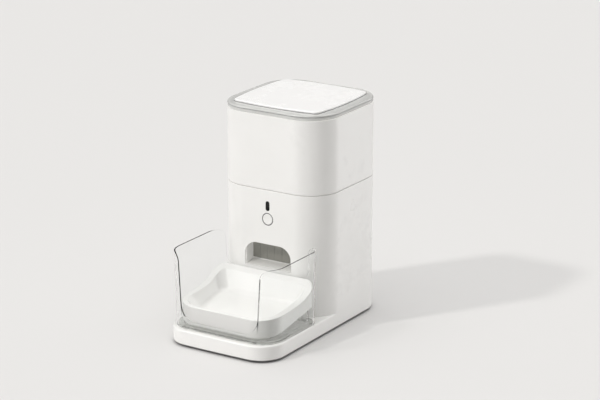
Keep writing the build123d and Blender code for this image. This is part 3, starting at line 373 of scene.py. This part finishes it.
def lets_lamps_through(tree, shader, passed):
    """Rays that look for lamps, and soft bounced light, pass straight on with a slight tint."""
    open_air = tree.tree.nodes.new("ShaderNodeBsdfTransparent")
    open_air.inputs["Color"].default_value = passed
    path = tree.tree.nodes.new("ShaderNodeLightPath")
    through = tree.math("MAXIMUM", path.outputs["Is Shadow Ray"], path.outputs["Is Diffuse Ray"])
    both = tree.tree.nodes.new("ShaderNodeMixShader")
    tree.put(both.inputs[0], through)
    tree.tree.links.new(shader.outputs[0], both.inputs[1])
    tree.tree.links.new(open_air.outputs[0], both.inputs[2])
    tree.tree.links.new(both.outputs[0], tree.tree.nodes["Material Output"].inputs["Surface"])


def clear(name, body, edge, passed, roughness, edges, share=1.0, **constants):
    """A clear plastic with painted shade on its level faces and cut edges, which lets lamps through."""
    tree, shader = finish(name, Transmission_Weight=share, Metallic=0.0, **constants)
    mask = place_group(tree, cut_edge, **edges)["Mask"]
    tree.put(shader.inputs["Base Color"], tree.mix_colour(mask, body, edge))
    wiped = place_group(tree, scuffs, Scale=45.0, Stretch=10.0, Reach=0.45)["Mask"]
    tree.put(shader.inputs["Roughness"], tree.math("ADD", tree.math("MULTIPLY", wiped, 0.05), roughness))
    lets_lamps_through(tree, shader, passed)


clear("clear_guard", (0.985, 0.99, 0.988, 1.0), (0.004, 0.004, 0.005, 1.0), (0.86, 0.865, 0.86, 1.0), 0.01,
      dict(Half_Width=0.079, Up_Share=1.0, Low_Fade=0.042, Back_Fade=-0.03, Band=0.0004), IOR=1.22)
clear("clear_cradle", (0.97, 0.972, 0.968, 1.0), (0.74, 0.745, 0.74, 1.0), (0.93, 0.935, 0.93, 1.0), 0.06,
      dict(Half_Width=0.0, Up_Share=0.5, Low_Fade=-0.1, Back_Fade=0.5), IOR=1.35)
clear("clear_lid", (0.84, 0.84, 0.825, 1.0), (0.74, 0.74, 0.725, 1.0), (0.85, 0.85, 0.84, 1.0), 0.12,
      dict(Half_Width=0.0, Up_Share=0.5, Low_Fade=-0.1, Back_Fade=0.5), share=0.45, IOR=1.42)
print("clear plastics: guard, cradle and lid")

# %% [markdown]
# ## Dark details, rubber and the rest of the plastics
# The window is black with a soft gloss. The ring round the button is a satin dark grey.
# Silicone and rubber scatter light in a wide, dull way, so they have high roughness,
# and some of them a little sheen.

# %% Dark and soft plastics
moulded("dark_window", (0.004, 0.004, 0.004, 1.0), (0.006, 0.006, 0.006, 1.0), (0.12, 0.18), 900.0, 0.00001,
        IOR=1.35)
moulded("dark_ring", (0.035, 0.035, 0.036, 1.0), (0.03, 0.03, 0.031, 1.0), (0.34, 0.42), 2200.0, 0.00003)
moulded("soft_grey", (0.5, 0.505, 0.5, 1.0), (0.46, 0.465, 0.46, 1.0), (0.5, 0.6), 1300.0, 0.00006,
        dust_amount=0.1, Sheen_Weight=0.2)
moulded("bead_grey", (0.12, 0.12, 0.12, 1.0), (0.1, 0.1, 0.1, 1.0), (0.4, 0.5), 2200.0, 0.00003)
# The flap's warm dark grey is partly painted shade: it keeps the inside of the outlet dark.
moulded("flap_grey", (0.23, 0.226, 0.2, 1.0), (0.21, 0.206, 0.182, 1.0), (0.5, 0.6), 1300.0, 0.00006)
moulded("black_rubber", (0.018, 0.018, 0.018, 1.0), (0.026, 0.025, 0.024, 1.0), (0.62, 0.78), 1100.0, 0.00015,
        dust_amount=0.25, Sheen_Weight=0.15)
moulded("gear_plastic", (0.66, 0.62, 0.5, 1.0), (0.6, 0.565, 0.45, 1.0), (0.3, 0.4), 1500.0, 0.00005,
        Subsurface_Weight=0.1, Subsurface_Scale=0.002)
moulded("chip_black", (0.012, 0.012, 0.013, 1.0), (0.02, 0.02, 0.021, 1.0), (0.4, 0.55), 2600.0, 0.00006)
moulded("cell_wrap", (0.03, 0.033, 0.04, 1.0), (0.022, 0.025, 0.032, 1.0), (0.18, 0.26), 700.0, 0.00004,
        Coat_Weight=0.3, Coat_Roughness=0.12)
print("plastics and rubbers:", len(MATERIALS))

# %% [markdown]
# ## Metal fittings
# Screws, shafts and springs are turned or rolled, which leaves fine streaks. The
# streaks go to the roughness and, faintly, to the relief, and the metal itself stays
# one colour, so the glints stretch along the part as they do on real fittings.

# %% Metals


def metal(name, colour, low, high, streak, depth):
    """A bare or plated metal with fine streaks."""
    tree, shader = finish(name, Metallic=1.0, Base_Color=colour)
    out = place_group(tree, turned, Streak_Scale=streak, Rough_Low=low, Rough_High=high)
    tree.put(shader.inputs["Roughness"], out["Roughness"])
    bump(tree, shader, out["Height"], 0.3, depth)


metal("steel", (0.55, 0.545, 0.535, 1.0), 0.22, 0.4, 1100.0, 0.00003)
metal("motor_metal", (0.5, 0.5, 0.495, 1.0), 0.28, 0.42, 500.0, 0.00005)
metal("contact_metal", (0.72, 0.7, 0.64, 1.0), 0.12, 0.25, 700.0, 0.00002)
print("materials so far:", len(MATERIALS))

# %% [markdown]
# ## Circuit board
# A board is glass cloth under a green lacquer with copper tracks in it. The tracks
# show as slightly raised, lighter lines on a grid. A brick pattern with wide bricks
# gives lines of broken length, which is close to how tracks run.

# %% Board lacquer with tracks
tree, shader = finish("board_green", Coat_Weight=0.35, Coat_Roughness=0.15, IOR=1.5)
where = tree.node("ShaderNodeTexCoord", "Object")
turn = tree.node("ShaderNodeMapping", Vector=where, Rotation=(math.pi / 2, 0.0, 0.0))
tracks = tree.node("ShaderNodeTexBrick", "Fac", Vector=turn, Scale=160.0, Mortar_Size=0.06, Mortar_Smooth=0.3,
                   Brick_Width=1.9, Row_Height=0.36)
weave = tree.node("ShaderNodeTexNoise", Vector=where, Scale=3000.0, Detail=2.0)
lacquer = tree.mix_colour(weave, (0.008, 0.075, 0.03, 1.0), (0.012, 0.095, 0.04, 1.0))
tree.put(shader.inputs["Base Color"], tree.mix_colour(tracks, lacquer, (0.03, 0.17, 0.075, 1.0)))
tree.put(shader.inputs["Roughness"], tree.span(weave, 0.3, 0.7, 0.28, 0.4))
bump(tree, shader, tracks, 0.4, 0.00006)
print("board lacquer with tracks")

# %% Give each node its finish
SLOT_OF = {s["node"]: s["material_slot"] for s in frame["record"]["subparts"]}
FINISH_OF = dict(SLOT_OF, bowl_cradle="clear_cradle", lid_plate="white_plate")
FINISH_OF.update(bottom_cover="cover_grey", battery_door="cover_grey")
for name, obj in nodes.items():
    material = MATERIALS[FINISH_OF[name]]
    obj.data.materials.clear()
    obj.data.materials.append(material)
print("finished nodes:", len(nodes))

# %% [markdown]
# ## Beads round the lid
# A thin dark bead of silicone fills the gap between the white plate and its clear
# frame, and a finer one runs just under the frame's top edge. Both are partly painted
# shade: they are dark so that the gap and the line under the edge read as shade. A bead
# could be a curve with a round bevel, but the outline is already in the CAD mesh: its
# outermost points at one height, taken in order round the middle, are the path. Each path
# point gets a small rounded section, and the sections are bridged into a closed ring.

# %% Outline of a node at one height


def outline_at(name, z, tolerance=0.0002):
    """The outermost points of a node's mesh at one height, in order round the tower."""
    middle = Vector((0.0, (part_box("lid_plate")[0].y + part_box("lid_plate")[1].y) / 2))
    ring = {}
    for v in nodes[name].data.vertices:
        if abs(v.co.z - z) < tolerance:
            arm = Vector((v.co.x, v.co.y)) - middle
            key = round(math.degrees(math.atan2(arm.y, arm.x)) * 2)
            if key not in ring or arm.length > ring[key].length:
                ring[key] = arm
    reach = max(a.length for a in ring.values())
    return [middle + ring[k] for k in sorted(ring) if ring[k].length > reach * 0.6]


def ring_from_path(name, path, section, material, body):
    """A closed ring with the same small section at every point of a path."""
    bm = bmesh.new()
    count = len(path)
    rows = []
    for i, p in enumerate(path):
        along = (path[(i + 1) % count] - path[i - 1]).normalized()
        out = Vector((along.y, -along.x))
        rows.append([bm.verts.new((p.x + out.x * u, p.y + out.y * u, w)) for u, w in section])
    for i in range(count):
        a, b = rows[i], rows[(i + 1) % count]
        for j in range(len(section)):
            k = (j + 1) % len(section)
            face = bm.faces.new((a[j], b[j], b[k], a[k]))
            face.smooth = True
    bmesh.ops.recalc_face_normals(bm, faces=bm.faces)
    mesh = bpy.data.meshes.new(name)
    bm.to_mesh(mesh)
    bm.free()
    obj = bpy.data.objects.new(name, mesh)
    scene.collection.objects.link(obj)
    mesh.materials.append(MATERIALS[material])
    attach(obj, body)


def bead_section(u0, u1, z0, z1, steps=10):
    """A rounded section between two offsets and two heights."""
    cu, cz = (u0 + u1) / 2, (z0 + z1) / 2
    ru, rz = (u1 - u0) / 2, (z1 - z0) / 2
    turns = [2 * math.pi * i / steps for i in range(steps)]
    return [(cu + ru * math.cos(a), cz + rz * math.sin(a)) for a in turns]


print("outline and ring helpers ready")

# %% Two beads
# Painted shade: both beads are dark so that the plate's gap and the line under the frame's top edge read as
# shade.
plate_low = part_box("lid_plate")[0]
frame_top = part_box("lid_frame")[1].z
plate_path = outline_at("lid_plate", plate_low.z)
plate_section = bead_section(0.0, 0.0009, frame_top - 0.0004, frame_top + 0.0006)
ring_from_path("plate_shade_bead", plate_path, plate_section, "dark_ring", "lid")
frame_path = outline_at("lid_frame", frame_top - 0.0024, 0.0003)
frame_section = bead_section(-0.0003, 0.00025, frame_top - 0.0031, frame_top - 0.0025)
ring_from_path("frame_shade_bead", frame_path, frame_section, "bead_grey", "lid")
print("beads:", len(plate_path), "and", len(frame_path), "path points")

# %% [markdown]
# ## Studio
# The feeder stands on a seamless pale floor. One lamp from the front left, high up,
# casts the shadow, soft-edged like that of a large softbox. A sky that is bright
# overhead and dim at the horizon stands for the overhead bank, and two weak fills
# without shadows even out the sides.

# %% Floor
floor_mesh = bpy.data.meshes.new("studio_floor")
bm = bmesh.new()
bmesh.ops.create_grid(bm, x_segments=8, y_segments=8, size=9.0)
bm.to_mesh(floor_mesh)
bm.free()
floor = bpy.data.objects.new("studio_floor", floor_mesh)
scene.collection.objects.link(floor)
tree, shader = finish("floor_paper", IOR=1.4)
where = tree.node("ShaderNodeTexCoord", "Object")
fibre = tree.node("ShaderNodeTexNoise", Vector=where, Scale=400.0, Detail=3.0)
tree.put(shader.inputs["Base Color"], tree.mix_colour(fibre, rgb(213, 212, 211), rgb(215, 214, 213)))
tree.put(shader.inputs["Roughness"], tree.span(fibre, 0.3, 0.7, 0.85, 0.95))
bump(tree, shader, fibre, 0.1, 0.0002)
floor_mesh.materials.append(MATERIALS["floor_paper"])
print("floor", tuple(round(v, 2) for v in floor.dimensions))

# %% Sky and lamps
world = bpy.data.worlds.new("studio_sky")
scene.world = world
world.use_nodes = True
t = Tree(world.node_tree)
height = t.node("ShaderNodeSeparateXYZ", "Z", Vector=t.node("ShaderNodeTexCoord", "Generated"))
SKY_LOW, SKY_HIGH, BACKDROP = 0.03, 2.45, 0.8
glow = t.span(t.math("POWER", t.math("MAXIMUM", height, 0.0), 3.0), 0.0, 1.0, SKY_LOW, SKY_HIGH)
path = t.node("ShaderNodeLightPath").node.outputs
seen = t.math("MAXIMUM", path["Is Camera Ray"], path["Is Transmission Ray"])
lighting = t.math("MULTIPLY", glow, t.math("SUBTRACT", 1.0, seen))
strength = t.math("ADD", lighting, t.math("MULTIPLY", seen, BACKDROP))
sky = world.node_tree.nodes["Background"]
sky.inputs["Color"].default_value = (1.0, 0.994, 0.985, 1.0)
t.put(sky.inputs["Strength"], strength)


def lamp(name, towards, energy, angle, shadow, colour=(1, 1, 1)):
    """A distant lamp that shines from the given direction."""
    data = bpy.data.lights.new(name, "SUN")
    data.energy, data.angle, data.use_shadow, data.color = energy, angle, shadow, colour
    obj = bpy.data.objects.new(name, data)
    obj.rotation_euler = Vector(towards).to_track_quat("Z", "Y").to_euler()
    scene.collection.objects.link(obj)


lamp("key", (-0.415, -0.626, 0.662), 0.8, math.radians(4.5), True, (1.0, 0.985, 0.96))
lamp("front_fill", (-0.55, -0.82, 0.05), 0.9, math.radians(40), False)
lamp("side_fill", (0.5, 0.86, 0.02), 0.95, math.radians(40), False)
scene.view_settings.view_transform = "Standard"

# %% Camera
LENS_MM, SENSOR_MM = 136.17, 36.0
CAMERA_AT = (1.78549, -2.75261, 1.22221)
CAMERA_LOOKS = (-0.5103, 0.8066, -0.2983)
camera_data = bpy.data.cameras.new("camera")
camera_data.lens, camera_data.sensor_width = LENS_MM, SENSOR_MM
camera = bpy.data.objects.new("camera", camera_data)
camera.location = CAMERA_AT
camera.rotation_euler = Vector(CAMERA_LOOKS).to_track_quat("-Z", "Y").to_euler()
scene.collection.objects.link(camera)
scene.camera = camera
print("camera at", tuple(round(v, 2) for v in camera.location))
